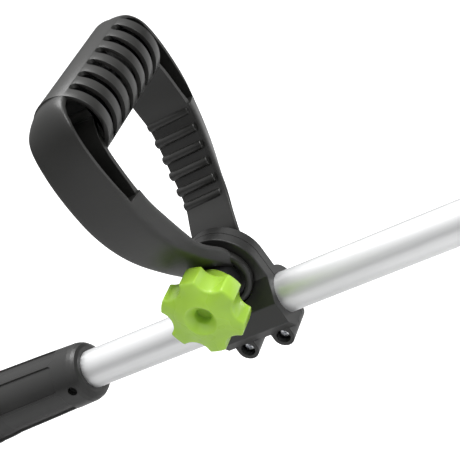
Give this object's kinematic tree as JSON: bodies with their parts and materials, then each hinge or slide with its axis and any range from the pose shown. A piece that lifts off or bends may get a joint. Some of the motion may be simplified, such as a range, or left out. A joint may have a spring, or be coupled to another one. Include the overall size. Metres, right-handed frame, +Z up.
{
  "type": "pressure washer lance",
  "caption": "Long pressure-washer lance: trigger handle, aluminium shaft tube, pivoting loop handle clamped by a star knob, quick coupler and spray nozzle.",
  "frame": {"origin": "centre of the end face of the inlet fitting, on the lance axis", "axes": "+X runs along the lance from inlet to nozzle, +Z points up to the loop handle, Y is the axis the loop handle turns about, and -Y is the knob's side"},
  "size_m": [1.039, 0.128, 0.2742],
  "materials": {
    "tube_aluminium": "satin anodised",
    "steel": "machined",
    "spring_steel": "drawn wire",
    "zinc_screw": "bright zinc plated",
    "zinc_bolt": "zinc plated",
    "dark_screw": "black oxide",
    "brass": "turned",
    "sleeve_steel": "satin chrome plated",
    "filter_mesh": "woven mesh",
    "loop_plastic": "satin moulded",
    "clamp_plastic": "satin moulded",
    "housing_plastic": "satin moulded",
    "trigger_plastic": "satin moulded",
    "socket_plastic": "satin moulded",
    "nozzle_plastic": "satin moulded",
    "spacer_plastic": "moulded",
    "inner_plastic": "moulded",
    "knob_green": "glossy lime green",
    "latch_green": "glossy lime green",
    "seal_rubber": "smooth"
  },
  "bodies": {
    "lance": {"shaft_tube": "tube_aluminium", "pressure_pipe": "steel", "pipe_guides": "inner_plastic", "clamp_near_half": "clamp_plastic", "clamp_far_half": "clamp_plastic", "clamp_screws": "zinc_screw", "clamp_nuts": "zinc_screw", "housing_near": "housing_plastic", "housing_far": "housing_plastic", "housing_screws": "dark_screw", "inlet_fitting": "brass", "inlet_filter": "filter_mesh", "inlet_pipe": "steel", "valve_body": "brass", "valve_spring": "spring_steel", "valve_plug": "brass", "trigger_pin": "steel", "trigger_spring": "spring_steel", "front_socket": "socket_plastic", "socket_pin": "steel", "coupler_body": "brass", "coupler_spring": "spring_steel", "locking_balls": "steel", "nozzle_stem": "brass", "stem_seal": "seal_rubber", "spray_tip": "steel"},
    "loop": {"loop_handle": "loop_plastic", "pivot_bolt": "zinc_bolt", "bolt_washer": "zinc_bolt", "knob_washer": "zinc_bolt", "pivot_spacer": "spacer_plastic"},
    "knob": {"star_knob": "knob_green", "knob_insert": "brass"},
    "trigger": {"trigger": "trigger_plastic", "latch_pin": "steel"},
    "latch": {"safety_latch": "latch_green"},
    "plunger": {"valve_plunger": "steel"},
    "sleeve": {"coupler_sleeve": "sleeve_steel"},
    "nozzle": {"nozzle_head": "nozzle_plastic"}
  },
  "joints": [
    {"name": "loop_pivot", "type": "hinge", "parent": "lance", "child": "loop", "pos_m": [0.485, 0, 0.0297], "axis": [0, 1, 0], "range_deg": [-60, 60]},
    {"name": "knob_turn", "type": "hinge", "parent": "loop", "child": "knob", "pos_m": [0.485, 0, 0.0297], "axis": [0, 1, 0], "continuous": true},
    {"name": "trigger_pull", "type": "hinge", "parent": "lance", "child": "trigger", "pos_m": [0.182, 0, -0.03], "axis": [0, 1, 0], "range_deg": [0, 8], "stiffness_Nm_per_rad": 6, "springref_deg": -8.59, "deforming": ["trigger_spring"]},
    {"name": "plunger_slide", "type": "slide", "parent": "lance", "child": "plunger", "axis": [1, 0, 0], "range_m": [0, 0.003]},
    {"name": "latch_turn", "type": "hinge", "parent": "trigger", "child": "latch", "pos_m": [0.118, 0, -0.036], "axis": [0, 1, 0], "range_deg": [-75, 0]},
    {"name": "sleeve_slide", "type": "slide", "parent": "lance", "child": "sleeve", "axis": [-1, 0, 0], "range_m": [0, 0.006], "stiffness_N_per_m": 800, "springref_m": -0.004},
    {"name": "nozzle_turn", "type": "hinge", "parent": "lance", "child": "nozzle", "pos_m": [1.02, 0, 0], "axis": [1, 0, 0], "range_deg": [0, 90]}
  ],
  "couplings": [
    {"joint": "plunger_slide", "follows": "trigger_pull", "m_per_rad": 0.018}
  ]
}
